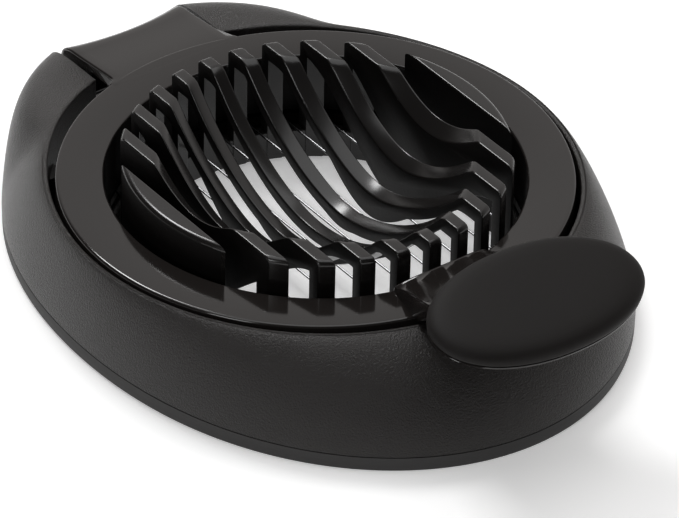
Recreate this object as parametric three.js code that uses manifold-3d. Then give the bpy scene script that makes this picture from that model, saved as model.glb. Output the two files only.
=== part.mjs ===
// Egg slicer: an oval weighted-looking base with a ribbed egg bowl, and a round cutting frame
// strung with steel wires that is hinged at the back and pulled up by an oval thumb grip.
// Millimetres. +Z is up from the table, +Y points to the hinge and -Y to the thumb grip.

import * as THREE from 'three';
import { mergeVertices } from 'three/addons/utils/BufferGeometryUtils.js';
import Module from 'manifold-3d';

const wasm = await Module();
wasm.setup();

// ---------- driving dimensions ----------

// base shell and its foot
const footHalfWidth = 54.6;
const footHalfLength = 70.65;
const footRearBulge = 1.75;
const footSquareness = 0.45;
const footFrontSpread = 0.6;
const footHeight = 3;
const footBandWidth = 3.2;
const partingGap = 0.3;
const shellWall = 2.2;
const recessRadius = 50.15;
const recessFrontFlare = 1.45;
const recessEarFlare = 5;
const lipWidth = 1;
const deckDrop = 0.77;
const deckSlope = 0.53;
const earDrop = 0.8;
const recessWallBottom = 5;

// cutting frame
const ringTop = 21.2;
const ringInner = 40.5;
const ringOuter = 49.8;
const ringWall = 1.7;
const ringPlate = 2;
const outerSkirtBottom = 12;
const edgeRound = 0.6;

// hinge
const hingeY = 59;
const hingeZ = 14.6;
const pinRadius = 1.5;
const pinHoleRadius = 1.58;
const pinLength = 37;
const tabHalfWidth = 13.7;
const notchHalfWidth = 15;
const notchFloor = 5.4;
const earPlate = 2.8;
const tabDrop = 1.4;
const tabRear = 64.9;
const tabRearScoop = 1.6;

// egg cradle
const cradleY = -0.35;
const ribPitch = 6.88;
const ribCount = 9;
const ribWidth = 2.8;
const ribEdgeDepth = 3.1;
const ribArchDepth = 17.6;
const ribArchReach = 31;
const ribWeb = 2.7;
const ribTop = ringTop + 6.1;
const bowlDepth = 18.1;
const bowlRadius = 31.5;
const bowlLobe = 1.4;
const tubeOuter = 37.7;
const tubeInner = 35.6;
const tubeBottom = 0.8;
const tubeRim = 7;
const ribEndRound = 1.1;
const crescentInner = 33.6;
const flangeOuter = 52.1;
const flangeTop = recessWallBottom - partingGap;
const flangeThickness = 1.4;

// cutting wires and the ring that carries them
const wireZ = 7.9;
const wireRadius = 0.25;
const wireReach = 44.6;
const beadRadius = 0.7;
const skirtBottom = wireZ + wireRadius + partingGap;
const carrierLip = wireZ - wireRadius - partingGap;
const carrierTop = wireZ - beadRadius - partingGap;
const carrierThickness = 1.2;

// thumb grip
const gripY = -67.9;
const gripZ = ringTop + 9.4;
const gripHalfLength = 22.8;
const gripHalfWidth = 13.4;
const gripTilt = 0.18;
const gripShellDepth = 2.2;
const gripCapHeight = 3.4;
const tongueRootHalfWidth = 10.8;
const tongueHalfWidth = 15;
const tongueRise = 2.8;
const tongueSideRise = 0.4;

// screws
const screwRadius = 1.4;
const screwHeadRadius = 2.7;
const screwHeadHeight = 1.5;
const screwPilotRadius = 1.6;
const bossRadius = 3.4;
const cradleScrewRing = 55.3;
const cradleScrewAngles = [42, 138, 222, 318];

// ---------- materials ----------

const shellBlack = new THREE.MeshStandardMaterial({ color: 0x2b2827, roughness: 0.62, metalness: 0 });
const glossBlack = new THREE.MeshStandardMaterial({ color: 0x1f1d1d, roughness: 0.22, metalness: 0 });
const softBlack = new THREE.MeshStandardMaterial({ color: 0x2f2d2c, roughness: 0.8, metalness: 0 });
const footBlack = new THREE.MeshStandardMaterial({ color: 0x262423, roughness: 0.75, metalness: 0 });
const steel = new THREE.MeshStandardMaterial({ color: 0xb9babd, roughness: 0.3, metalness: 1 });

// ---------- helpers ----------

const degrees = Math.PI / 180;
const roundSegments = 72;

function smoothStep(x, from, to) {
  const t = Math.min(1, Math.max(0, (x - from) / (to - from)));
  return t * t * (3 - 2 * t);
}

// A closed mesh as a solid that can be joined and cut.
function solid(geometry) {
  const bare = geometry.clone();
  bare.deleteAttribute('normal');
  bare.deleteAttribute('uv');
  const merged = mergeVertices(bare, 1e-4);
  return new wasm.Manifold(new wasm.Mesh({
    numProp: 3,
    vertProperties: Float32Array.from(merged.attributes.position.array),
    triVerts: Uint32Array.from(merged.index.array),
  }));
}

// A solid as three.js geometry.
function geometryOf(body) {
  const mesh = body.getMesh();
  const geometry = new THREE.BufferGeometry();
  geometry.setAttribute('position', new THREE.BufferAttribute(Float32Array.from(mesh.vertProperties), 3));
  geometry.setIndex(new THREE.BufferAttribute(Uint32Array.from(mesh.triVerts), 1));
  geometry.computeVertexNormals();
  return geometry;
}

// A box between two corners.
function block(low, high) {
  const size = high.map((value, axis) => value - low[axis]);
  const geometry = new THREE.BoxGeometry(...size);
  geometry.translate(...low.map((value, axis) => value + size[axis] / 2));
  return solid(geometry);
}

// An upright cylinder standing on z = bottom.
function post(x, y, bottom, top, radius, sides = 24) {
  const geometry = new THREE.CylinderGeometry(radius, radius, top - bottom, sides);
  geometry.rotateX(Math.PI / 2);
  geometry.translate(x, y, (bottom + top) / 2);
  return solid(geometry);
}

// A cylinder along X, centred on x = 0.
function rod(y, z, length, radius, sides = 24) {
  const geometry = new THREE.CylinderGeometry(radius, radius, length, sides);
  geometry.rotateZ(Math.PI / 2);
  geometry.translate(0, y, z);
  return solid(geometry);
}

// A ring made by turning a closed outline of [radius, z] points about the Z axis.
function turned(outline, segments = roundSegments) {
  const closed = [...outline, outline[0]].map(([radius, z]) => new THREE.Vector2(radius, z));
  const geometry = new THREE.LatheGeometry(closed, segments);
  geometry.rotateX(Math.PI / 2);
  return solid(geometry);
}

// A plate with a [y, z] outline, running from x = from to x = to.
function sidePlate(outline, from, to, steps = 1) {
  const shape = new THREE.Shape(outline.map(([y, z]) => new THREE.Vector2(y, z)));
  const geometry = new THREE.ExtrudeGeometry(shape, { depth: to - from, steps, bevelEnabled: false });
  geometry.rotateX(Math.PI / 2);
  geometry.rotateZ(Math.PI / 2);
  geometry.translate(from, 0, 0);
  return geometry;
}

// Points of an arc, from one angle to another, about a centre.
function arc(centreA, centreB, radius, fromAngle, toAngle, steps) {
  return Array.from({ length: steps + 1 }, (_, i) => {
    const angle = (fromAngle + ((toAngle - fromAngle) * i) / steps) * degrees;
    return [centreA + radius * Math.cos(angle), centreB + radius * Math.sin(angle)];
  });
}

function part(name, geometry, material) {
  const mesh = new THREE.Mesh(geometry, material);
  mesh.name = name;
  return mesh;
}

// ---------- base shell ----------

// The heading is 0 at the front (-Y) and 180 degrees at the hinge.
function footRadius(heading) {
  const across = footHalfLength * Math.sin(heading);
  const along = footHalfWidth * Math.cos(heading);
  const bulge = footRearBulge * smoothStep(Math.abs(heading) / degrees, 135, 175);
  const square = footSquareness * Math.sin(2 * heading) ** 2;
  const spread = footFrontSpread * Math.sin(heading) ** 2 * Math.cos(heading);
  return (footHalfWidth * footHalfLength) / Math.hypot(across, along) + bulge + square + spread;
}

// The recess hugs the frame at the sides and opens out in front and towards the hinge.
function recessEdge(heading) {
  const ahead = Math.max(0, Math.cos(heading));
  const behind = Math.max(0, -Math.cos(heading));
  return recessRadius + recessFrontFlare * ahead ** 2.3 + recessEarFlare * behind ** 3;
}

// The deck lies just under the frame's face and falls away towards the hinge.
function deckHeight(heading) {
  const ears = earDrop * smoothStep(Math.abs(heading) / degrees, 145, 172);
  return ringTop - deckDrop + deckSlope * Math.cos(heading) - ears;
}

// The skirt is nearly straight all round and square-shouldered at the ears.
function skirtFullness(heading) {
  const angle = Math.abs(heading) / degrees;
  return 1.4 + 0.1 * Math.max(0, Math.cos(heading)) + 4.5 * smoothStep(angle, 138, 170);
}

// One radial section of the skirt, from the outside of the deck's lip (0) to the foot (1).
function skirtPoint(heading, share, inset) {
  const fullness = skirtFullness(heading);
  const edge = recessEdge(heading) + lipWidth;
  const top = deckHeight(heading) - inset;
  const bottom = footHeight + partingGap;
  const angle = (share * Math.PI) / 2;
  const out = footRadius(heading) - inset - edge;
  const radius = edge + out * Math.sin(angle) ** (2 / fullness);
  const z = bottom + (top - bottom) * Math.cos(angle) ** (2 / fullness);
  return [radius, z];
}

// A closed ring whose radial section changes with the heading; a section runs clockwise.
function sweptRing(section, segments) {
  const rows = [];
  for (let i = 0; i < segments; i += 1) {
    const heading = ((i * 360) / segments - 180) * degrees;
    rows.push(section(heading).map(([radius, z]) => [
      radius * Math.sin(heading), -radius * Math.cos(heading), z,
    ]));
  }
  const count = rows[0].length;
  const index = [];
  for (let i = 0; i < segments; i += 1) {
    const next = (i + 1) % segments;
    for (let j = 0; j < count; j += 1) {
      const k = (j + 1) % count;
      index.push(i * count + j, next * count + k, next * count + j);
      index.push(i * count + j, i * count + k, next * count + k);
    }
  }
  const geometry = new THREE.BufferGeometry();
  geometry.setAttribute('position', new THREE.Float32BufferAttribute(rows.flat(2), 3));
  geometry.setIndex(index);
  return solid(geometry);
}

function skirtSection(heading, inset, steps) {
  return Array.from({ length: steps + 1 }, (_, i) => skirtPoint(heading, i / steps, inset));
}

const cradleScrewPlaces = cradleScrewAngles.map((angle) => [
  cradleScrewRing * Math.sin(angle * degrees), -cradleScrewRing * Math.cos(angle * degrees),
]);

function baseShell() {
  const outside = sweptRing((heading) => [
    [recessEdge(heading), deckHeight(heading)], ...skirtSection(heading, 0, 8),
    [recessEdge(heading) + 1.85, recessWallBottom], [recessEdge(heading), recessWallBottom],
  ], 80);
  const hollow = sweptRing((heading) => {
    const wall = recessEdge(heading) + 1.8;
    const skin = skirtSection(heading, shellWall, 5).map(([radius, z]) => [Math.max(radius, wall + 0.2), z]);
    const foot = Math.max(footRadius(heading) - shellWall, wall + 0.3);
    return [...skin.slice(1), [foot, 1], [wall, 1], [wall, skin[1][1]]];
  }, 80);
  const plates = block([-notchHalfWidth - earPlate, 46, 0], [-notchHalfWidth, 75, ringTop])
    .add(block([notchHalfWidth, 46, 0], [notchHalfWidth + earPlate, 75, ringTop]));
  const floor = block([-notchHalfWidth, 53.6, notchFloor - 1.5], [notchHalfWidth, 75, notchFloor]);
  const notch = block([-notchHalfWidth, 44, notchFloor], [notchHalfWidth, 80, ringTop + 5]);
  let body = outside.subtract(hollow.subtract(plates).subtract(floor)).subtract(notch);
  for (const [x, y] of cradleScrewPlaces) {
    const boss = post(x, y, recessWallBottom, ringTop, bossRadius).intersect(outside);
    body = body.add(boss).subtract(post(x, y, 1, 12, screwPilotRadius));
  }
  return body.subtract(rod(hingeY, hingeZ, pinLength + 0.6, pinHoleRadius));
}

// A soft ring under the whole edge of the base.
function footRing() {
  return sweptRing((heading) => {
    const rim = footRadius(heading);
    return [
      [rim - 0.3, footHeight], [rim, footHeight - 0.3], [rim - 0.1, 0.4], [rim - 0.5, 0],
      [rim - footBandWidth, 0], [rim - footBandWidth, footHeight],
    ];
  }, 80);
}

// ---------- egg cradle ----------

// Height of the bowl's surface; beyond its rim the ribs are flat on top.
function bowlHeight(x, y) {
  const rim = bowlRadius + bowlLobe * Math.cos(4 * Math.atan2(y, x));
  const share = Math.min(1, Math.hypot(x, y) / rim);
  return ribTop - bowlDepth * (1 - share * share);
}

// Height of a rib's underside: a sagging line that is alike on every rib, kept clear of the bowl.
function archHeight(x, y) {
  const share = Math.min(1, Math.abs(y) / ribArchReach);
  const line = ribTop - ribEdgeDepth - ribArchDepth * Math.cos((share * Math.PI) / 2) ** 2;
  return Math.min(line, bowlHeight(x, y) - ribWeb);
}

// Side outline of a rib where it crosses x: a leg at each end and a web between bowl and arch.
function ribOutline(x) {
  const reach = Math.sqrt(tubeOuter ** 2 - x ** 2);
  const inside = Math.sqrt(tubeInner ** 2 - x ** 2) - 0.3;
  const flat = Math.sqrt((tubeOuter - ribEndRound) ** 2 - x ** 2);
  const foot = tubeRim + partingGap;
  const steps = 16;
  const top = [];
  const under = [];
  for (let i = 0; i <= steps; i += 1) {
    const y = flat - (2 * flat * i) / steps;
    top.push([y, bowlHeight(x, y)]);
    const innerY = inside - (2 * inside * i) / steps;
    under.push([-innerY, archHeight(x, innerY)]);
  }
  const back = arc(tubeOuter - ribEndRound, ribTop - ribEndRound, ribEndRound, 0, 90, 4).slice(0, 4)
    .map(([radius, z]) => [Math.sqrt(radius ** 2 - x ** 2), z]);
  const front = back.map(([y, z]) => [-y, z]).reverse();
  const above = [[reach, foot], ...back, ...top, ...front, [-reach, foot]];
  return [...above, [-inside, foot], ...under, [inside, foot]];
}

// A rib is lofted between the outlines of its two faces, so that its top leans with the bowl.
function rib(x) {
  const faces = [x - ribWidth / 2, x + ribWidth / 2];
  const outlines = faces.map(ribOutline);
  const count = outlines[0].length;
  const position = outlines.flatMap((outline, face) => outline.map(([y, z]) => [faces[face], y, z]));
  const flat = THREE.ShapeUtils.triangulateShape(outlines[0].map(([y, z]) => new THREE.Vector2(y, z)), []);
  const index = flat.flatMap(([i, j, k]) => [i, k, j, count + i, count + j, count + k]);
  for (let i = 0; i < count; i += 1) {
    const next = (i + 1) % count;
    index.push(i, next, count + next, i, count + next, count + i);
  }
  const geometry = new THREE.BufferGeometry();
  geometry.setAttribute('position', new THREE.Float32BufferAttribute(position.flat(), 3));
  geometry.setIndex(index);
  return geometry;
}

function crescent(side) {
  const foot = tubeRim + partingGap;
  const rounded = new THREE.LatheGeometry([
    [0, 0], [tubeOuter, 0],
    ...arc(tubeOuter - ribEndRound, ribTop - ribEndRound, ribEndRound, 0, 90, 4),
    [0, ribTop],
  ].map(([radius, z]) => new THREE.Vector2(radius, z)), roundSegments);
  rounded.rotateX(Math.PI / 2);
  const inner = block([crescentInner, -25, foot], [tubeOuter + 1, 25, ribTop + 1]);
  const lens = inner.intersect(solid(rounded));
  return side > 0 ? lens : lens.mirror([1, 0, 0]);
}

const wirePlaces = Array.from({ length: ribCount + 1 }, (_, i) => (i - ribCount / 2) * ribPitch);

// The short tube that the ribs stand on, with a flange screwed up into the base.
function cradleTube() {
  const floor = flangeTop - flangeThickness;
  let body = turned([
    [tubeInner, tubeBottom], [tubeOuter, tubeBottom], [tubeOuter, floor], [flangeOuter, floor],
    [flangeOuter, flangeTop], [tubeOuter, flangeTop], [tubeOuter, tubeRim], [tubeInner, tubeRim],
  ]);
  for (const [x, y] of cradleScrewPlaces) {
    const lug = post(x, y - cradleY, floor, flangeTop, bossRadius);
    const arm = post(x * 0.9, (y - cradleY) * 0.9, floor, flangeTop, bossRadius);
    body = body.add(lug).add(arm).subtract(post(x, y - cradleY, 0, 10, screwPilotRadius));
  }
  return body;
}

// ---------- cutting frame ----------

// The rear of the tab bows outwards at its corners.
function scoopRear(geometry) {
  const place = geometry.attributes.position;
  for (let i = 0; i < place.count; i += 1) {
    const share = smoothStep(place.getY(i), hingeY + 1.5, tabRear);
    place.setY(i, place.getY(i) + tabRearScoop * share * (place.getX(i) / 12) ** 2);
  }
  return geometry;
}

function hingeTab() {
  const roll = 3.2;
  const tabTop = ringTop - tabDrop;
  const outline = [
    [44, ringTop], [47.5, ringTop], [tabRear - roll - 1, tabTop + 0.1],
    ...arc(tabRear - roll, tabTop - roll, roll, 80, 0, 5),
    [tabRear, hingeZ + 0.5], [tabRear - 2, hingeZ - 0.5],
    ...arc(hingeY, hingeZ, 3.2, -20, -180, 8),
    [hingeY - 3.4, ringTop - ringPlate - 0.8], [47, ringTop - ringPlate], [44, ringTop - ringPlate],
  ].reverse();
  return solid(scoopRear(sidePlate(outline, -tabHalfWidth, tabHalfWidth, 8)))
    .subtract(rod(hingeY, hingeZ, 40, pinHoleRadius));
}

// The tongue spreads towards the grip, and its root is arched from side to side.
function spreadTongue(geometry) {
  const place = geometry.attributes.position;
  const root = tongueRootHalfWidth / tongueHalfWidth;
  for (let i = 0; i < place.count; i += 1) {
    const along = Math.min(1, Math.max(0, (-place.getY(i) - ringInner) / (-gripY - 11 - ringInner)));
    const crown = Math.sqrt(Math.max(0, 1 - (place.getX(i) / tongueHalfWidth) ** 2));
    const spread = smoothStep(along, 0, 1);
    const sunk = place.getZ(i) > ringTop ? (tongueRise - tongueSideRise) * (1 - crown) * (1 - along) : 0;
    place.setX(i, place.getX(i) * (root + (1 - root) * spread));
    place.setZ(i, place.getZ(i) - sunk);
  }
  return geometry;
}

// A ramp that rises from the ring's inner edge and carries the grip out in front.
function tongue() {
  const seat = (y) => gripZ - gripShellDepth - partingGap + gripTilt * (y - gripY);
  const rim = ringTop + tongueRise;
  const root = gripY + 11;
  const front = gripY + 3;
  const low = ringTop - ringPlate;
  const outline = [
    [-36, low], [-36, rim], [-ringInner - 0.6, rim], [-48, rim + (seat(root) - rim) * 0.44],
    [root, seat(root)], [front, seat(front)], [front, seat(front) - 2], [root, seat(root) - 3.4],
    [-51, ringTop + 1], [-48.6, ringTop - 0.2], [-46.8, low],
  ].reverse();
  return solid(spreadTongue(sidePlate(outline, -tongueHalfWidth, tongueHalfWidth, 8)))
    .subtract(post(0, 0, 0, rim + 2, ringInner, roundSegments));
}

function frameRing() {
  const body = turned([
    [ringInner, skirtBottom], [ringInner + ringWall, skirtBottom],
    [ringInner + ringWall, ringTop - ringPlate], [ringOuter - ringWall, ringTop - ringPlate],
    [ringOuter - ringWall, outerSkirtBottom], [ringOuter, outerSkirtBottom],
    ...arc(ringOuter - edgeRound, ringTop - edgeRound, edgeRound, 0, 90, 3),
    ...arc(ringInner + edgeRound, ringTop - edgeRound, edgeRound, 90, 180, 3),
  ]);
  return body.add(hingeTab()).add(tongue());
}

// The lower half of the frame: the wires lie between it and the frame's inner skirt.
function wireCarrier() {
  const bottom = carrierTop - carrierThickness;
  const wallOuter = ringOuter - ringWall - 0.3;
  return turned([
    [ringInner + 0.2, bottom], [wallOuter, bottom], [wallOuter, ringTop - ringPlate - partingGap],
    [wallOuter - 1.6, ringTop - ringPlate - partingGap], [wallOuter - 1.6, carrierTop],
    [ringInner + ringWall, carrierTop], [ringInner + ringWall, carrierLip], [ringInner + 0.2, carrierLip],
  ]);
}

// A wire spans the frame and ends in a swaged bead on each side, inside the hollow ring.
function cuttingWire(x) {
  const reach = Math.sqrt(wireReach ** 2 - x ** 2);
  const half = [[wireRadius, reach - 1.1], [beadRadius, reach - 0.8], [beadRadius, reach - 0.3], [0, reach]];
  const outline = [...half.map(([radius, y]) => [radius, -y]).reverse(), ...half]
    .map(([radius, y]) => new THREE.Vector2(radius, y));
  const geometry = new THREE.LatheGeometry(outline, 10);
  geometry.translate(x, 0, wireZ);
  return geometry;
}

// ---------- thumb grip ----------

// An oval dish or cap, lofted from stacked ellipses of [share of full size, height].
function ovalLoft(layers, sides = 48) {
  const position = [];
  const index = [];
  layers.forEach(([share, z]) => {
    for (let i = 0; i < sides; i += 1) {
      const angle = (i / sides) * 2 * Math.PI;
      position.push(share * gripHalfLength * Math.cos(angle), share * gripHalfWidth * Math.sin(angle), z);
    }
  });
  layers.slice(1).forEach((_, layer) => {
    for (let i = 0; i < sides; i += 1) {
      const next = (i + 1) % sides;
      const low = layer * sides;
      const high = low + sides;
      index.push(low + i, low + next, high + next, low + i, high + next, high + i);
    }
  });
  const top = (layers.length - 1) * sides;
  for (let i = 1; i < sides - 1; i += 1) {
    index.push(0, i + 1, i);
    index.push(top, top + i, top + i + 1);
  }
  const geometry = new THREE.BufferGeometry();
  geometry.setAttribute('position', new THREE.Float32BufferAttribute(position, 3));
  geometry.setIndex(index);
  return geometry;
}

// The grip leans down towards the front.
function onGrip(body) {
  return body.rotate([Math.atan(gripTilt) / degrees, 0, 0]).translate([0, gripY, gripZ]);
}

function gripShell() {
  const depth = gripShellDepth;
  return onGrip(solid(ovalLoft([
    [0.3, -depth], [0.7, -depth * 0.94], [0.88, -depth * 0.74], [0.965, -depth * 0.4], [0.99, -0.15],
  ])));
}

function gripCap() {
  const rise = gripCapHeight;
  return onGrip(solid(ovalLoft([
    [0.985, 0.15], [1, 0.7], [1, 1.3], [0.965, rise * 0.66],
    [0.86, rise * 0.88], [0.66, rise * 0.98], [0.36, rise],
  ])));
}

// ---------- fasteners ----------

// A pan-head screw pointing up, with its head's seat at the given height.
function screw(x, y, seat, length) {
  const outline = [
    [0, seat - screwHeadHeight], [screwHeadRadius * 0.8, seat - screwHeadHeight],
    [screwHeadRadius, seat - screwHeadHeight * 0.5], [screwHeadRadius, seat], [screwRadius, seat],
    [screwRadius, seat + length - 1], [0, seat + length],
  ].map(([radius, z]) => new THREE.Vector2(radius, z));
  const geometry = new THREE.LatheGeometry(outline, 20);
  geometry.rotateX(Math.PI / 2);
  geometry.translate(x, y, 0);
  const below = seat - screwHeadHeight - 1;
  const recess = seat - screwHeadHeight + 0.6;
  const slot = block([x - 2, y - 0.3, below], [x + 2, y + 0.3, recess]);
  const cross = block([x - 0.3, y - 2, below], [x + 0.3, y + 2, recess]);
  return solid(geometry).subtract(slot).subtract(cross);
}

// ---------- assembly ----------

const base = new THREE.Group();
base.add(part('base_shell', geometryOf(baseShell()), shellBlack));
base.add(part('foot_ring', geometryOf(footRing()), footBlack));
const cradle = new THREE.Group();
cradle.position.y = cradleY;
cradle.add(part('cradle_tube', geometryOf(cradleTube()), glossBlack));
for (let i = 0; i < ribCount; i += 1) {
  cradle.add(part(`rib_${i + 1}`, rib((i - (ribCount - 1) / 2) * ribPitch), glossBlack));
}
cradle.add(part('crescent_left', geometryOf(crescent(-1)), glossBlack));
cradle.add(part('crescent_right', geometryOf(crescent(1)), glossBlack));
base.add(cradle);
base.add(part('hinge_pin', geometryOf(rod(hingeY, hingeZ, pinLength, pinRadius)), steel));
cradleScrewPlaces.forEach(([x, y], i) => {
  const seat = flangeTop - flangeThickness - 0.3;
  base.add(part(`cradle_screw_${i + 1}`, geometryOf(screw(x, y, seat, 8)), steel));
});

const frame = new THREE.Group();
frame.add(part('frame_ring', geometryOf(frameRing()), glossBlack));
frame.add(part('wire_carrier', geometryOf(wireCarrier()), glossBlack));
wirePlaces.forEach((x, i) => {
  frame.add(part(`cutting_wire_${String(i + 1).padStart(2, '0')}`, cuttingWire(x), steel));
});
frame.add(part('grip_shell', geometryOf(gripShell()), glossBlack));
frame.add(part('grip_cap', geometryOf(gripCap()), softBlack));

// The origin is on the table, under the middle of the whole object's length.
const slicer = new THREE.Group();
slicer.add(base, frame);
const whole = new THREE.Box3().setFromObject(slicer);
slicer.position.y = -(whole.min.y + whole.max.y) / 2;

export default slicer;
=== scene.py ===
# Egg slicer: smooth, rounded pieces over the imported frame, with moulded-plastic, rubber and steel
# materials, a pale studio floor and the camera.

import math

import bmesh
import bpy
from mathutils import Matrix, Vector


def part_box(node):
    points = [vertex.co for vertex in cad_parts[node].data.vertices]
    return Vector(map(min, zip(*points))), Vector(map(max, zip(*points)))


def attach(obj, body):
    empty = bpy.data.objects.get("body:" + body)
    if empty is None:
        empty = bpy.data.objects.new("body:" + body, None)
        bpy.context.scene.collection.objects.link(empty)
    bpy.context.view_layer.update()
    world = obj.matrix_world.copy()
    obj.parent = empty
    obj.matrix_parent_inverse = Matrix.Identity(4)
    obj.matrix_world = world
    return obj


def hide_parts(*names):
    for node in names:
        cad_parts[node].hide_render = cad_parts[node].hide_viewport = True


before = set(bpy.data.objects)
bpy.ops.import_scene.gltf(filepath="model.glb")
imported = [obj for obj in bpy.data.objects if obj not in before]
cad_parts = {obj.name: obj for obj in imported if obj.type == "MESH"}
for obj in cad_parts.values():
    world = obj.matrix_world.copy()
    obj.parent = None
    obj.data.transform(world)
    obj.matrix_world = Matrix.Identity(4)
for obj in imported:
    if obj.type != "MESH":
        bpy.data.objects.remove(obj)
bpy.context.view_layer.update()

# ---------- driving dimensions (millimetres, about the centre of the cutting ring) ----------

FOOT_HALF_WIDTH = 54.59
FOOT_HALF_LENGTH = 70.65
FOOT_REAR_BULGE = 1.75
FOOT_SQUARENESS = 0.45
FOOT_FRONT_SPREAD = 0.6
FOOT_HEIGHT = 3.0
PARTING = 0.3
SHELL_WALL = 2.2
HOLLOW_END = 157
BOSS_RADIUS = 3.4
SCREW_RING = 55.3
SCREW_ANGLES = (42, 138, 222, 318)
BOSS_TOP = 13
RECESS_RADIUS = 50.15
RECESS_FRONT_FLARE = 1.45
RECESS_EAR_FLARE = 5.0
RECESS_BOTTOM = 5.0
LIP_WIDTH = 1.0
DECK_DROP = 0.77
DECK_SLOPE = 0.53
EAR_DROP = 0.8
NOTCH_HALF_WIDTH = 15.0
NOTCH_FLOOR = 5.4
NOTCH_FRONT = 44
NOTCH_REAR = 80
NOTCH_TOP = 40
SKIRT_FULLNESS = 1.4
SKIRT_FRONT_FULLNESS = 0.1
SKIRT_EAR_FULLNESS = 4.5
EAR_START = 138
EAR_END = 170

RING_TOP = 21.2
RING_INNER = 40.5
RING_OUTER = 49.8
RING_WALL = 1.7
RING_PLATE = 2.0
SKIRT_BOTTOM = 8.5
OUTER_SKIRT_BOTTOM = 12.0
RING_HOLE_REACH = 42.5
RING_HOLE_TOP = 20.5

HINGE_Y = 59.0
HINGE_Z = 14.6
TAB_HALF_WIDTH = 13.7
TAB_FRONT = 45
TAB_REAR = 64.9
TAB_DROP = 1.4
TAB_SCOOP = 1.6
TAB_ROLL = 3.2
BARREL_RADIUS = 3.2

CRADLE_Y = -0.35
RIB_PITCH = 6.88
RIB_COUNT = 9
RIB_WIDTH = 2.8
RIB_EDGE_DEPTH = 3.1
RIB_ARCH_DEPTH = 17.6
RIB_ARCH_REACH = 31.0
RIB_WEB = 2.7
RIB_TOP = RING_TOP + 6.1
BOWL_DEPTH = 18.1
BOWL_RADIUS = 31.5
BOWL_LOBE = 1.4
TUBE_OUTER = 37.7
TUBE_INNER = 35.6
TUBE_BOTTOM = 0.8
TUBE_RIM = 7.0
RIB_END_ROUND = 1.1
CRESCENT_INNER = 33.6
FLANGE_OUTER = 52.1
FLANGE_TOP = 4.7
FLANGE_THICKNESS = 1.4

GRIP_Y = -67.9
GRIP_Z = RING_TOP + 9.4
GRIP_HALF_LENGTH = 22.8
GRIP_HALF_WIDTH = 13.4
GRIP_TILT = 0.18
GRIP_SHELL_DEPTH = 2.2
GRIP_CAP_HEIGHT = 3.37
GRIP_POWER = 2.1
TONGUE_ROOT_HALF_WIDTH = 10.8
TONGUE_HALF_WIDTH = 15.0
TONGUE_RISE = 2.8
TONGUE_SIDE_RISE = 0.4
TONGUE_ROOT = 11
TONGUE_FRONT = 3

SKY_BRIGHT_SIDE = (0.85, 0.5, -0.2)
SKY_LOW = 0.07
SKY_HIGH = 0.7
SKY_EDGE_DARK = 0.1
SKY_EDGE_BRIGHT = 0.64
SKY_TINT = (1, 0.965, 0.945)
FLOOR_REACH = 6
FLOOR_SHADE = 0.9
FLOOR_GLOW = 0.34

CAMERA_LENS = 309.7
CAMERA_AZIMUTH = -36.973
CAMERA_ELEVATION = 35.598
CAMERA_ROLL = 1.245
CAMERA_DISTANCE = 1092.665
CAMERA_AIM = (-13.038, -25.408, RING_TOP)

# The hinge pin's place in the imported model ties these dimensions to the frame's origin.
pin_low, pin_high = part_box("hinge_pin")
SHIFT_Y = (pin_low[1] + pin_high[1]) / 2 - HINGE_Y / 1000
SHIFT_Z = (pin_low[2] + pin_high[2]) / 2 - HINGE_Z / 1000


def place(x, y, z):
    return Vector((x / 1000, y / 1000 + SHIFT_Y, z / 1000 + SHIFT_Z))


def smooth_step(x, low, high):
    t = min(1.0, max(0.0, (x - low) / (high - low)))
    return t * t * (3 - 2 * t)


# ---------- mesh helpers ----------


def new_piece(name, points, faces, crease=38):
    mesh = bpy.data.meshes.new(name)
    mesh.from_pydata([place(*point) for point in points], [], faces)
    build = bmesh.new()
    build.from_mesh(mesh)
    bmesh.ops.recalc_face_normals(build, faces=build.faces)
    build.to_mesh(mesh)
    build.free()
    mesh.shade_smooth()
    mesh.set_sharp_from_angle(angle=math.radians(crease))
    piece = bpy.data.objects.new(name, mesh)
    bpy.context.scene.collection.objects.link(piece)
    return piece


def ring_faces(rows, columns, close_rows=True, close_columns=True):
    faces = []
    row_span = rows if close_rows else rows - 1
    column_span = columns if close_columns else columns - 1
    for i in range(row_span):
        for j in range(column_span):
            a = i * columns + j
            b = i * columns + (j + 1) % columns
            c = ((i + 1) % rows) * columns + (j + 1) % columns
            d = ((i + 1) % rows) * columns + j
            faces.append((a, b, c, d))
    return faces


def headings(count):
    return [math.radians(i * 360 / count - 180) for i in range(count)]


def swept_ring(name, section, count=240, crease=38):
    """A closed ring. The heading is 0 at the front; a section is a clockwise list of (r, z)."""
    points = []
    columns = 0
    for heading in headings(count):
        row = section(heading)
        columns = len(row)
        for radius, z in row:
            points.append((radius * math.sin(heading), -radius * math.cos(heading), z))
    return new_piece(name, points, ring_faces(count, columns), crease)


def arc(centre_a, centre_b, radius, start, end, steps):
    points = []
    for i in range(steps + 1):
        angle = math.radians(start + (end - start) * i / steps)
        points.append((centre_a + radius * math.cos(angle), centre_b + radius * math.sin(angle)))
    return points


def inset_outline(outline, distance, weights=None):
    """Moves every point of a counter-clockwise outline inwards."""
    count = len(outline)
    moved = []
    for i, (a, b) in enumerate(outline):
        before = outline[i - 1]
        after = outline[(i + 1) % count]
        edge_1 = Vector((a - before[0], b - before[1]))
        edge_2 = Vector((after[0] - a, after[1] - b))
        if edge_1.length < 1e-9:
            edge_1 = edge_2
        if edge_2.length < 1e-9:
            edge_2 = edge_1
        edge_1.normalize()
        edge_2.normalize()
        normal = Vector((-(edge_1.y + edge_2.y), edge_1.x + edge_2.x))
        normal.normalize()
        reach = distance * (weights[i] if weights else 1.0)
        moved.append((a + normal.x * reach, b + normal.y * reach))
    return moved


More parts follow.
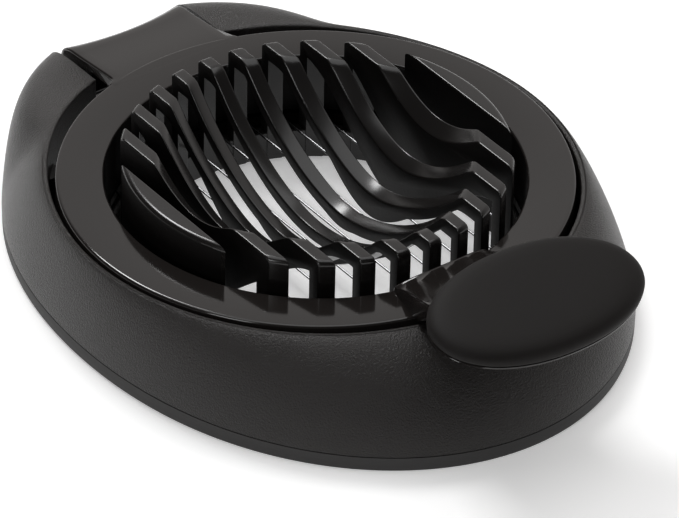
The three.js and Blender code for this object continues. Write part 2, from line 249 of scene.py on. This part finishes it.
def edge_layers(low, high, radius, middle=4):
    """Stations across a slab with rounded edges, and how far each one's outline is inset."""
    near = []
    for share in (0.0, 0.12, 0.35, 0.65, 1.0):
        inside = radius - radius * share
        near.append((radius * share, radius - math.sqrt(max(0.0, radius ** 2 - inside ** 2))))
    stations = [(low + d, inset) for d, inset in near]
    span = high - low - 2 * radius
    stations += [(low + radius + span * i / middle, 0.0) for i in range(1, middle)]
    stations += [(high - d, inset) for d, inset in reversed(near)]
    return stations


def slab(name, outline_at, stations, weights=None, crease=50, width_at=None):
    """A plate built from side outlines of (y, z) at stations across X, with closed ends."""
    points = []
    columns = 0
    half = max(abs(x) for x, _ in stations)
    for x, inset in stations:
        row = inset_outline(outline_at(x), inset, weights)
        columns = len(row)
        for y, z in row:
            spread = width_at(y) / half if width_at else 1.0
            points.append((x * spread, y, z))
    rows = len(stations)
    faces = ring_faces(rows, columns, close_rows=False)
    faces.append(tuple(range(columns - 1, -1, -1)))
    faces.append(tuple(range((rows - 1) * columns, rows * columns)))
    return new_piece(name, points, faces, crease)


def join(name, pieces):
    bpy.ops.object.select_all(action="DESELECT")
    for piece in pieces:
        piece.select_set(True)
    bpy.context.view_layer.objects.active = pieces[0]
    bpy.ops.object.join()
    pieces[0].name = name
    return pieces[0]


def cut(piece, cutter):
    modifier = piece.modifiers.new("cut", "BOOLEAN")
    modifier.operation = "DIFFERENCE"
    modifier.solver = "FAST"
    modifier.object = cutter
    bpy.context.view_layer.objects.active = piece
    bpy.ops.object.select_all(action="DESELECT")
    piece.select_set(True)
    bpy.ops.object.modifier_apply(modifier=modifier.name)
    bpy.data.objects.remove(cutter)
    piece.data.shade_smooth()
    piece.data.set_sharp_from_angle(angle=math.radians(38))


def prism(name, outline, bottom, top):
    """An upright prism over a counter-clockwise outline of (x, y)."""
    count = len(outline)
    points = [(x, y, bottom) for x, y in outline] + [(x, y, top) for x, y in outline]
    faces = [(i, (i + 1) % count, count + (i + 1) % count, count + i) for i in range(count)]
    faces.append(tuple(range(count - 1, -1, -1)))
    faces.append(tuple(range(count, 2 * count)))
    return new_piece(name, points, faces)


# ---------- materials ----------


def node_maker(material):
    material.use_nodes = True
    tree = material.node_tree
    tree.nodes.clear()

    def make(kind, **settings):
        node = tree.nodes.new(kind)
        for key, value in settings.items():
            setattr(node, key, value)
        return node

    return tree, make


def moulded(name, colour, roughness, grain_scale, grain_depth, wear, specular=0.5, smear=0.08):
    """Moulded plastic or rubber: a fine surface grain, slow colour drift and uneven gloss."""
    material = bpy.data.materials.new(name)
    tree, make = node_maker(material)
    link = tree.links.new
    output = make("ShaderNodeOutputMaterial")
    shader = make("ShaderNodeBsdfPrincipled")
    shader.inputs["Specular IOR Level"].default_value = specular
    link(shader.outputs["BSDF"], output.inputs["Surface"])
    place_at = make("ShaderNodeTexCoord")

    drift = make("ShaderNodeTexNoise", noise_dimensions="3D")
    drift.inputs["Scale"].default_value = 28.0
    drift.inputs["Detail"].default_value = 4.0
    link(place_at.outputs["Object"], drift.inputs["Vector"])

    tint = make("ShaderNodeMix", data_type="RGBA")
    tint.inputs["A"].default_value = (*[c * (1 - wear * 2) for c in colour], 1)
    tint.inputs["B"].default_value = (*[min(1, c * (1 + wear * 4)) for c in colour], 1)
    link(drift.outputs["Fac"], tint.inputs["Factor"])
    link(tint.outputs["Result"], shader.inputs["Base Color"])

    gloss = make("ShaderNodeMapRange")
    gloss.inputs["To Min"].default_value = max(0.02, roughness - smear)
    gloss.inputs["To Max"].default_value = roughness + smear
    link(drift.outputs["Fac"], gloss.inputs["Value"])
    link(gloss.outputs["Result"], shader.inputs["Roughness"])

    grain = make("ShaderNodeTexNoise", noise_dimensions="3D")
    grain.inputs["Scale"].default_value = grain_scale
    grain.inputs["Detail"].default_value = 3.0
    grain.inputs["Roughness"].default_value = 0.6
    link(place_at.outputs["Object"], grain.inputs["Vector"])
    bump = make("ShaderNodeBump")
    bump.inputs["Strength"].default_value = 1.0
    bump.inputs["Distance"].default_value = grain_depth
    link(grain.outputs["Fac"], bump.inputs["Height"])
    link(bump.outputs["Normal"], shader.inputs["Normal"])
    return material


def drawn_steel(name, shade):
    """Drawn stainless steel: fine streaks along the wire."""
    material = bpy.data.materials.new(name)
    tree, make = node_maker(material)
    link = tree.links.new
    output = make("ShaderNodeOutputMaterial")
    shader = make("ShaderNodeBsdfPrincipled")
    shader.inputs["Metallic"].default_value = 1.0
    link(shader.outputs["BSDF"], output.inputs["Surface"])
    place_at = make("ShaderNodeTexCoord")
    stretch = make("ShaderNodeMapping")
    stretch.inputs["Scale"].default_value = (9000, 300, 9000)
    link(place_at.outputs["Object"], stretch.inputs["Vector"])
    streaks = make("ShaderNodeTexNoise", noise_dimensions="3D")
    streaks.inputs["Detail"].default_value = 2.0
    streaks.inputs["Scale"].default_value = 1.0
    link(stretch.outputs["Vector"], streaks.inputs["Vector"])
    tint = make("ShaderNodeMix", data_type="RGBA")
    tint.inputs["A"].default_value = (shade * 0.8, shade * 0.8, shade * 0.82, 1)
    tint.inputs["B"].default_value = (shade * 1.1, shade * 1.1, shade * 1.12, 1)
    link(streaks.outputs["Fac"], tint.inputs["Factor"])
    link(tint.outputs["Result"], shader.inputs["Base Color"])
    gloss = make("ShaderNodeMapRange")
    gloss.inputs["To Min"].default_value = 0.16
    gloss.inputs["To Max"].default_value = 0.34
    link(streaks.outputs["Fac"], gloss.inputs["Value"])
    link(gloss.outputs["Result"], shader.inputs["Roughness"])
    return material


# Colour, roughness, grain scale, grain depth (metres), colour drift; then gloss where it isn't usual.
base_plastic = moulded(
    "base_plastic", (0.0095, 0.0078, 0.0071), 0.31, 2900, 0.00024, 0.06, specular=0.38
)
frame_plastic = moulded(
    "frame_plastic", (0.0125, 0.0108, 0.0101), 0.1, 900, 0.000002, 0.04, smear=0.03
)
cradle_plastic = moulded(
    "cradle_plastic", (0.006, 0.0052, 0.0049), 0.22, 500, 0.000004, 0.04, smear=0.05
)
grip_rubber = moulded(
    "grip_rubber", (0.0085, 0.0074, 0.007), 0.6, 3600, 0.00003, 0.05, specular=0.14
)
# A darker, duller plastic used only as painted shade: on the cradle's side faces and on the wall of the
# ring's opening.
painted_shade_plastic = moulded(
    "painted_shade_plastic", (0.004, 0.0034, 0.0032), 0.5, 1200, 0.00003, 0.05, specular=0.12
)
foot_rubber = moulded("foot_rubber", (0.015, 0.014, 0.0138), 0.6, 3000, 0.00002, 0.06)
steel = drawn_steel("drawn_steel", 0.6)
wire_steel = drawn_steel("wire_steel", 0.13)


def dress(piece, material):
    piece.data.materials.clear()
    piece.data.materials.append(material)


def paint_shade(piece, material, test):
    """Gives a second material, darker and duller, to the faces that pass a test on their middle and normal;
    this paints shade onto them.
    """
    piece.data.materials.append(material)
    for face in piece.data.polygons:
        centre = face.center
        middle = (centre.x * 1000, (centre.y - SHIFT_Y) * 1000, (centre.z - SHIFT_Z) * 1000)
        face.material_index = 1 if test(middle, face.normal) else 0


# ---------- base shell ----------


def foot_radius(heading):
    """An ellipse, filled out at the back and on the diagonals, and slightly wider towards the front."""
    across = FOOT_HALF_LENGTH * math.sin(heading)
    along = FOOT_HALF_WIDTH * math.cos(heading)
    bulge = FOOT_REAR_BULGE * smooth_step(abs(math.degrees(heading)), 135, 175)
    square = FOOT_SQUARENESS * math.sin(2 * heading) ** 2
    spread = FOOT_FRONT_SPREAD * math.sin(heading) ** 2 * math.cos(heading)
    return FOOT_HALF_WIDTH * FOOT_HALF_LENGTH / math.hypot(across, along) + bulge + square + spread


def recess_edge(heading):
    ahead = max(0.0, math.cos(heading))
    behind = max(0.0, -math.cos(heading))
    return RECESS_RADIUS + RECESS_FRONT_FLARE * ahead ** 2.3 + RECESS_EAR_FLARE * behind ** 3


def deck_height(heading):
    ears = EAR_DROP * smooth_step(abs(math.degrees(heading)), 145, 172)
    return RING_TOP - DECK_DROP + DECK_SLOPE * math.cos(heading) - ears


def skirt_fullness(heading):
    """The power of the skirt's curve: it bulges a little more in front and most at the two ears."""
    front = SKIRT_FRONT_FULLNESS * max(0.0, math.cos(heading))
    ears = SKIRT_EAR_FULLNESS * smooth_step(abs(math.degrees(heading)), EAR_START, EAR_END)
    return SKIRT_FULLNESS + front + ears


def skirt_point(heading, share, start):
    """A point on the skirt: share 0 is at the deck and 1 at the foot."""
    power = 2 / skirt_fullness(heading)
    top = deck_height(heading) - 0.05
    bottom = FOOT_HEIGHT + PARTING
    out = foot_radius(heading) - start
    angle = share * math.pi / 2
    radius = start + out * math.sin(angle) ** power
    z = bottom + (top - bottom) * max(0.0, math.cos(angle)) ** power
    return radius, z


def inner_skin(heading, wall):
    """The underside of the skirt, from the foot up to the recess wall; it is filled in at the hinge."""
    start = recess_edge(heading) + LIP_WIDTH + 0.08
    bottom = FOOT_HEIGHT + PARTING
    hollow = 1 - smooth_step(abs(math.degrees(heading)), HOLLOW_END, HOLLOW_END + 3)
    steps = 10
    points = []
    for i in range(steps + 1):
        radius, z = skirt_point(heading, 1 - i / steps, start)
        inside = max(radius - SHELL_WALL, wall + 0.4 - 0.02 * i)
        points.append((inside, bottom + max(0.0, z - SHELL_WALL - bottom) * hollow + 0.01 * i))
    return points


def base_section(heading):
    edge = recess_edge(heading)
    deck = deck_height(heading)
    foot = foot_radius(heading)
    wall = edge + 1.8
    points = [(edge, RECESS_BOTTOM), (edge, 10), (edge, deck - 0.5)]
    points += [(edge + 0.03, deck - 0.3), (edge + 0.12, deck - 0.12), (edge + 0.32, deck - 0.02)]
    groove = 0.14 * (1 - smooth_step(abs(math.degrees(heading)), 120, 145))
    points += [(edge + 0.75, deck), (edge + LIP_WIDTH - 0.3, deck - 0.02)]
    points += [(edge + LIP_WIDTH - 0.12, deck - 0.03 - groove * 0.7)]
    points += [(edge + LIP_WIDTH, deck - 0.04 - groove)]
    start = edge + LIP_WIDTH + 0.08
    steps = 20
    points += [skirt_point(heading, i / steps, start) for i in range(steps)]
    points += [(foot, FOOT_HEIGHT + PARTING + 0.12), (foot - 0.12, FOOT_HEIGHT + PARTING)]
    points += inner_skin(heading, wall)
    points += [(wall, points[-1][1]), (wall, FOOT_HEIGHT + PARTING + 1.7)]
    return points


base = swept_ring("base_skin", base_section, 288)
notch_outline = [
    (-NOTCH_HALF_WIDTH, NOTCH_FRONT),
    (NOTCH_HALF_WIDTH, NOTCH_FRONT),
    (NOTCH_HALF_WIDTH, NOTCH_REAR),
    (-NOTCH_HALF_WIDTH, NOTCH_REAR),
]
cut(base, prism("notch_cutter", notch_outline, NOTCH_FLOOR, NOTCH_TOP))


def screw_place(angle):
    heading = math.radians(angle)
    return SCREW_RING * math.sin(heading), -SCREW_RING * math.cos(heading)


def stadium(x, y, share, radius):
    """A counter-clockwise outline round two points on one ray from the centre."""
    toward = math.degrees(math.atan2(y, x))
    outer = arc(x, y, radius, toward - 90, toward + 90, 20)
    return outer + arc(x * share, y * share, radius, toward + 90, toward + 270, 20)


bosses = []
for angle in SCREW_ANGLES:
    x, y = screw_place(angle)
    bosses.append(prism(f"boss_{angle}", stadium(x, y, 0.98, BOSS_RADIUS), RECESS_BOTTOM, BOSS_TOP))
base = join("base_skin", [base, *bosses])
dress(base, base_plastic)
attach(base, "base")
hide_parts("base_shell")


# ---------- foot ring ----------


def foot_section(heading):
    foot = foot_radius(heading)
    top = FOOT_HEIGHT + PARTING - 0.07
    return [
        (foot - 0.12, top),
        (foot - 0.02, top - 0.05),
        (foot, top - 0.15),
        (foot - 0.05, 0.7),
        (foot - 0.2, 0.25),
        (foot - 0.6, 0),
        (foot - 3.2, 0),
        (foot - 3.2, top),
    ]


foot_band = swept_ring("foot_band", foot_section, 240)
dress(foot_band, foot_rubber)
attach(foot_band, "base")
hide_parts("foot_ring")


# ---------- egg cradle ----------


def bowl_height(x, y):
    """The top of the cradle: flat at the rim, and hollowed by a bowl with four shallow lobes."""
    rim = BOWL_RADIUS + BOWL_LOBE * math.cos(4 * math.atan2(y, x))
    share = math.hypot(x, y) / rim
    deep = BOWL_DEPTH * (1 - share * share)
    blend = 0.35
    depth = 0.5 * (deep + math.sqrt(deep * deep + blend * blend * 4)) - 0.02
    return RIB_TOP - max(0.0, depth - max(0.0, 0.3 - abs(deep) * 0.05))


def arch_height(x, y):
    """The underside of a rib: an arch between its legs, never closer to the bowl than the web."""
    share = min(1.0, abs(y) / RIB_ARCH_REACH)
    line = RIB_TOP - RIB_EDGE_DEPTH - RIB_ARCH_DEPTH * math.cos(share * math.pi / 2) ** 2
    return min(line, bowl_height(x, y) - RIB_WEB)


def end_round(x, steps):
    """The rounded end of a slat: the top edge of the tube's outer wall, where it crosses x."""
    turned = arc(TUBE_OUTER - RIB_END_ROUND, RIB_TOP - RIB_END_ROUND, RIB_END_ROUND, 0, 90, steps)
    return [(math.sqrt(radius ** 2 - x ** 2), z) for radius, z in turned]


def rib_outline(x):
    """Counter-clockwise (y, z) outline of one rib where it crosses x."""
    reach = math.sqrt(TUBE_OUTER ** 2 - x ** 2)
    inside = math.sqrt(TUBE_INNER ** 2 - x ** 2) - 0.25
    flat = math.sqrt((TUBE_OUTER - RIB_END_ROUND) ** 2 - x ** 2)
    steps = 64
    top = []
    under = []
    for i in range(steps + 1):
        y = flat - 2 * flat * i / steps
        top.append((y, bowl_height(x, y)))
        y_under = -inside + 2 * inside * i / steps
        under.append((y_under, arch_height(x, y_under)))
    back = end_round(x, 8)[:-1]
    front = [(-y, z) for y, z in reversed(back)]
    leg_back = [(reach, TUBE_BOTTOM), (reach, 12)]
    leg_front = [(-reach, 12), (-reach, TUBE_BOTTOM)]
    outside = leg_back + back + top + front + leg_front
    points = outside + [(-inside, TUBE_BOTTOM)] + under + [(inside, TUBE_BOTTOM)]
    outer = len(outside)
    weights = [1.0] * outer + [0.3] * (len(points) - outer)
    return [(y + CRADLE_Y, z) for y, z in points], weights


cradle_pieces = []
for i in range(RIB_COUNT):
    middle = (i - (RIB_COUNT - 1) / 2) * RIB_PITCH
    stations = edge_layers(middle - RIB_WIDTH / 2, middle + RIB_WIDTH / 2, 0.35, 2)
    weights = rib_outline(middle)[1]
    cradle_pieces.append(slab(f"rib_{i + 1}", lambda x: rib_outline(x)[0], stations, weights, 50))


def crescent(side):
    """A lens between a straight inner edge and the tube's outer wall, rounded along its top."""
    edge = 0.4
    levels = [(TUBE_OUTER, TUBE_BOTTOM), (TUBE_OUTER, 12)]
    levels += arc(TUBE_OUTER - RIB_END_ROUND, RIB_TOP - RIB_END_ROUND, RIB_END_ROUND, 0, 90, 12)
    points = []
    columns = 0
    for radius, z in levels:
        drop = max(0.0, z - (RIB_TOP - edge))
        inner = CRESCENT_INNER + edge - math.sqrt(edge ** 2 - min(drop, edge) ** 2)
        half = math.sqrt(radius ** 2 - inner ** 2)
        sweep = math.degrees(math.atan2(half, inner))
        outline = arc(0, 0, radius, -sweep, sweep, 40)
        outline += [(inner, half - 2 * half * i / 30) for i in range(1, 30)]
        columns = len(outline)
        points += [(side * x, y + CRADLE_Y, z) for x, y in outline]
    rows = len(levels)
    faces = ring_faces(rows, columns, close_rows=False)
    faces.append(tuple(range(columns - 1, -1, -1)))
    faces.append(tuple(range((rows - 1) * columns, rows * columns)))
    return new_piece(f"crescent_{'left' if side < 0 else 'right'}", points, faces, 50)


cradle_pieces += [crescent(-1), crescent(1)]


def tube_section(heading):
    floor = FLANGE_TOP - FLANGE_THICKNESS
    offset = -CRADLE_Y * math.cos(heading)
    rows = [
        (TUBE_INNER, TUBE_BOTTOM), (TUBE_INNER, TUBE_RIM - 0.2), (TUBE_INNER + 0.2, TUBE_RIM),
        (TUBE_OUTER - 0.2, TUBE_RIM), (TUBE_OUTER, TUBE_RIM - 0.2), (TUBE_OUTER, FLANGE_TOP),
        (FLANGE_OUTER, FLANGE_TOP), (FLANGE_OUTER, floor), (TUBE_OUTER, floor), (TUBE_OUTER, TUBE_BOTTOM),
    ]
    return [(radius + offset, z) for radius, z in rows]


cradle_pieces.append(swept_ring("cradle_tube", tube_section, 180))
for angle in SCREW_ANGLES:
    x, y = screw_place(angle)
    lug_outline = stadium(x, y, 0.92, BOSS_RADIUS)
    lug_bottom = FLANGE_TOP - FLANGE_THICKNESS + 0.02
    cradle_pieces.append(prism(f"lug_{angle}", lug_outline, lug_bottom, FLANGE_TOP - 0.02))
cradle = join("egg_cradle", cradle_pieces)
dress(cradle, cradle_plastic)
# The faces that face along X, mostly the ribs' sides, get the darker, duller plastic: painted shade between
# the ribs.
paint_shade(cradle, painted_shade_plastic, lambda _middle, normal: abs(normal.x) > 0.9)
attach(cradle, "base")
rib_nodes = [f"rib_{i + 1}" for i in range(RIB_COUNT)]
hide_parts("cradle_tube", "crescent_left", "crescent_right", *rib_nodes)

# ---------- cutting frame ----------


def ring_section(_heading):
    rows = [(RING_INNER, SKIRT_BOTTOM), (RING_INNER, RING_TOP - 0.5)]
    rows += [(a, b) for a, b in arc(RING_INNER + 0.5, RING_TOP - 0.5, 0.5, 180, 90, 5)][1:]
    rows += [(RING_OUTER - 0.7, RING_TOP)]
    rows += [(a, b) for a, b in arc(RING_OUTER - 0.6, RING_TOP - 0.6, 0.6, 90, 0, 5)]
    rows += [(RING_OUTER, OUTER_SKIRT_BOTTOM), (RING_OUTER - RING_WALL, OUTER_SKIRT_BOTTOM)]
    rows += [(RING_OUTER - RING_WALL, RING_TOP - RING_PLATE), (RING_INNER + RING_WALL, RING_TOP - RING_PLATE)]
    rows += [(RING_INNER + RING_WALL, SKIRT_BOTTOM)]
    return rows


def tab_outline(x):
    """Counter-clockwise (y, z) outline of the tab where it crosses x, with the hinge barrel below."""
    slope = []
    for i in range(41):
        y = TAB_FRONT + (TAB_REAR - TAB_ROLL - 0.6 - TAB_FRONT) * i / 40
        sunk = 0.03 * (1 - smooth_step(y, TAB_FRONT, TAB_FRONT + 2))
        slope.append((y, RING_TOP + 0.01 - sunk - TAB_DROP * smooth_step(y, TAB_FRONT + 1, TAB_FRONT + 21)))
    rear = [(a, b) for a, b in arc(TAB_REAR - TAB_ROLL, slope[-1][1] - TAB_ROLL - 0.05, TAB_ROLL, 78, 0, 9)]
    under = [(TAB_REAR, HINGE_Z + 0.5), (TAB_REAR - 2, HINGE_Z - 0.5)]
    barrel = arc(HINGE_Y, HINGE_Z, BARREL_RADIUS, -20, -180, 14)
    plate_bottom = RING_TOP - RING_PLATE
    back = [(HINGE_Y - 3.4, plate_bottom - 0.8)]
    back += [(TAB_FRONT + 3, plate_bottom), (TAB_FRONT, plate_bottom)]
    points = list(reversed(slope + rear + under + barrel + back))
    moved = []
    for y, z in points:
        share = smooth_step(y, HINGE_Y + 1.5, TAB_REAR)
        moved.append((y + TAB_SCOOP * share * (x / 12) ** 2, z))
    return moved


def tab_half_width(y):
    """The tab widens in a rounded corner where it meets the ring."""
    corner = 1.6
    gap = min(corner, max(0.0, 49.4 - y))
    return TAB_HALF_WIDTH + corner - math.sqrt(corner ** 2 - gap ** 2)


def tongue_half_width(y):
    share = smooth_step(-y, RING_INNER, -GRIP_Y - TONGUE_ROOT)
    return TONGUE_ROOT_HALF_WIDTH + (TONGUE_HALF_WIDTH - TONGUE_ROOT_HALF_WIDTH) * share


def tongue_outline(x):
    """Outline of the tongue where it crosses x: out of the ring, up over its rim and under the grip."""
    def seat(y):
        return GRIP_Z - GRIP_SHELL_DEPTH - PARTING + GRIP_TILT * (y - GRIP_Y)

    crown = math.sqrt(max(0.0, 1 - (x / TONGUE_HALF_WIDTH) ** 2))
    rim = RING_TOP + TONGUE_SIDE_RISE + (TONGUE_RISE - TONGUE_SIDE_RISE) * crown
    root = GRIP_Y + TONGUE_ROOT
    front = GRIP_Y + TONGUE_FRONT
    near = x * TONGUE_ROOT_HALF_WIDTH / TONGUE_HALF_WIDTH
    edge = -math.sqrt((RING_INNER + 0.05) ** 2 - near ** 2)
    lean = math.atan((seat(root) - rim) / (edge - root))
    points = [(edge, RING_TOP - 1), (edge, RING_TOP - 0.3)]
    points += arc(edge - 0.6, rim - 0.6, 0.6, 0, 90 + math.degrees(lean), 7)
    for i in range(1, 8):
        share = i / 8
        points.append((edge - 1 + (root - edge + 1) * share, rim + (seat(root) - rim) * share))
    points += [(root, seat(root)), (front, seat(front))]
    points += [(front, seat(front) - 2), (root, seat(root) - 3.4)]
    points += [(-51, RING_TOP + 1), (-48.6, RING_TOP - 0.2), (-46.8, RING_TOP - 1)]
    return points


def in_ring_hole(middle, _normal):
    """The opening's wall, below the top edge, is painted darker and duller than the top of the ring: painted
    shade inside the hole.
    """
    return math.hypot(middle[0], middle[1]) < RING_HOLE_REACH and middle[2] < RING_HOLE_TOP


ring = swept_ring("ring", ring_section, 288)
tab_layers = edge_layers(-TAB_HALF_WIDTH, TAB_HALF_WIDTH, 0.5, 16)
tab = slab("tab", tab_outline, tab_layers, None, 40, tab_half_width)
tongue_layers = edge_layers(-TONGUE_HALF_WIDTH, TONGUE_HALF_WIDTH, 0.5, 16)
tongue = slab("tongue", tongue_outline, tongue_layers, None, 40, tongue_half_width)
cutting_ring = join("cutting_ring", [ring, tab, tongue])
dress(cutting_ring, frame_plastic)
# The wall of the ring's opening gets the darker, duller plastic: painted shade inside the hole.
paint_shade(cutting_ring, painted_shade_plastic, in_ring_hole)
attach(cutting_ring, "cutting_frame")
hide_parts("frame_ring")

# ---------- thumb grip ----------


def grip_layers(name, layers, sides=120):
    tilt = math.atan(GRIP_TILT)
    points = []
    for share, height in layers:
        for i in range(sides):
            angle = 2 * math.pi * i / sides
            c = math.cos(angle)
            s = math.sin(angle)
            x = share * GRIP_HALF_LENGTH * math.copysign(abs(c) ** (2 / GRIP_POWER), c)
            y = share * GRIP_HALF_WIDTH * math.copysign(abs(s) ** (2 / GRIP_POWER), s)
            points.append((
                x,
                GRIP_Y + y * math.cos(tilt) - height * math.sin(tilt),
                GRIP_Z + y * math.sin(tilt) + height * math.cos(tilt),
            ))
    rows = len(layers)
    faces = ring_faces(rows, sides, close_rows=False)
    faces.append(tuple(range(sides - 1, -1, -1)))
    faces.append(tuple(range((rows - 1) * sides, rows * sides)))
    return new_piece(name, points, faces, 60)


depth = GRIP_SHELL_DEPTH
rise = GRIP_CAP_HEIGHT
# Each layer is its share of the grip's full outline and its height over the parting line.
shell_layers = [(0.05, -depth), (0.4, -depth), (0.7, -depth * 0.95), (0.84, -depth * 0.8)]
shell_layers += [(0.93, -depth * 0.58), (0.975, -depth * 0.33), (0.99, -0.4), (0.985, -0.18)]
shell_layers += [(0.96, -0.12)]
cap_layers = [(0.96, 0.12), (0.985, 0.16), (0.997, 0.35), (1.0, 0.7), (1.0, 1.2), (0.993, 1.6)]
cap_layers += [(0.975, rise * 0.6), (0.94, rise * 0.74), (0.885, rise * 0.85), (0.8, rise * 0.93)]
cap_layers += [(0.66, rise * 0.97), (0.45, rise * 0.99), (0.2, rise), (0.04, rise)]
grip_under = grip_layers("grip_under", shell_layers)
dress(grip_under, frame_plastic)
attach(grip_under, "cutting_frame")
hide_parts("grip_shell")
grip_top = grip_layers("grip_top", cap_layers)
dress(grip_top, grip_rubber)
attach(grip_top, "cutting_frame")
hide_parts("grip_cap")

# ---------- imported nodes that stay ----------

kept = {"wire_carrier": frame_plastic, "hinge_pin": steel}
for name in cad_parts:
    if name.startswith("cutting_wire"):
        kept[name] = wire_steel
    if name.startswith("cradle_screw"):
        kept[name] = steel
for name, material in kept.items():
    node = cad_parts[name]
    for slot in node.material_slots:
        slot.material = material

# ---------- stage, light and camera ----------


def pale_floor(name, shade, glow):
    """A matt floor that glows a little, so that the shadows on it stay pale."""
    material = bpy.data.materials.new(name)
    material.use_nodes = True
    shader = material.node_tree.nodes["Principled BSDF"]
    shader.inputs["Base Color"].default_value = (shade, shade, shade, 1)
    shader.inputs["Roughness"].default_value = 0.9
    shader.inputs["Specular IOR Level"].default_value = 0.1
    shader.inputs["Emission Color"].default_value = (1, 1, 1, 1)
    shader.inputs["Emission Strength"].default_value = glow
    return material


floor_mesh = bpy.data.meshes.new("floor")
reach = FLOOR_REACH
floor_corners = [(-reach, -reach, 0), (reach, -reach, 0), (reach, reach, 0), (-reach, reach, 0)]
floor_mesh.from_pydata(floor_corners, [], [(0, 1, 2, 3)])
floor = bpy.data.objects.new("floor", floor_mesh)
bpy.context.scene.collection.objects.link(floor)
floor.data.materials.append(pale_floor("pale_floor", FLOOR_SHADE, FLOOR_GLOW))

# The studio is bright towards the right and the back, and dark towards the left and the front.
world = bpy.data.worlds.new("studio")
world.use_nodes = True
sky = world.node_tree
direction = sky.nodes.new("ShaderNodeTexCoord")
toward = sky.nodes.new("ShaderNodeVectorMath")
toward.operation = "DOT_PRODUCT"
toward.inputs[1].default_value = SKY_BRIGHT_SIDE
ramp = sky.nodes.new("ShaderNodeMapRange")
ramp.interpolation_type = "SMOOTHSTEP"
ramp.inputs["From Min"].default_value = SKY_EDGE_DARK
ramp.inputs["From Max"].default_value = SKY_EDGE_BRIGHT
ramp.inputs["To Min"].default_value = SKY_LOW
ramp.inputs["To Max"].default_value = SKY_HIGH
sky.links.new(direction.outputs["Generated"], toward.inputs[0])
sky.links.new(toward.outputs["Value"], ramp.inputs["Value"])
sky.links.new(ramp.outputs["Result"], sky.nodes["Background"].inputs["Strength"])
sky.nodes["Background"].inputs["Color"].default_value = (*SKY_TINT, 1)
bpy.context.scene.world = world
bpy.context.scene.view_settings.view_transform = "Standard"


def soft_light(name, location, target, size, energy):
    data = bpy.data.lights.new(name, "AREA")
    data.shape = "RECTANGLE"
    data.size = size[0]
    data.size_y = size[1]
    data.energy = energy
    lamp = bpy.data.objects.new(name, data)
    lamp.location = location
    direction = Vector(target) - Vector(location)
    lamp.rotation_euler = direction.to_track_quat("-Z", "Y").to_euler()
    bpy.context.scene.collection.objects.link(lamp)


# Each light: its place and its target in metres, its two sides in metres and its power in watts.
middle = (0, 0, 0.02)
soft_light("key", (-0.85, -0.29, 0.46), middle, (0.28, 0.28), 1.6)
soft_light("back", (0.1, 0.85, 1.1), middle, (0.5, 0.28), 8)
soft_light("fill", (0.2, -0.95, 0.28), middle, (0.25, 0.2), 0.8)
soft_light("top", (0.05, 0.12, 1.1), middle, (1.0, 1.0), 5.0)

camera_data = bpy.data.cameras.new("camera")
camera_data.sensor_width = 36
camera_data.lens = CAMERA_LENS
camera = bpy.data.objects.new("camera", camera_data)
azimuth = math.radians(CAMERA_AZIMUTH)
elevation = math.radians(CAMERA_ELEVATION)
roll = math.radians(CAMERA_ROLL)
back = Vector((
    math.sin(azimuth) * math.cos(elevation),
    -math.cos(azimuth) * math.cos(elevation),
    math.sin(elevation),
))
right = Vector((math.cos(azimuth), math.sin(azimuth), 0))
up = back.cross(right)
rolled_right = right * math.cos(roll) + up * math.sin(roll)
rolled_up = up * math.cos(roll) - right * math.sin(roll)
aim = place(*CAMERA_AIM)
camera.matrix_world = Matrix.Translation(aim + back * CAMERA_DISTANCE / 1000) @ Matrix((
    (rolled_right.x, rolled_up.x, back.x, 0),
    (rolled_right.y, rolled_up.y, back.y, 0),
    (rolled_right.z, rolled_up.z, back.z, 0),
    (0, 0, 0, 1),
))
bpy.context.scene.collection.objects.link(camera)
bpy.context.scene.camera = camera
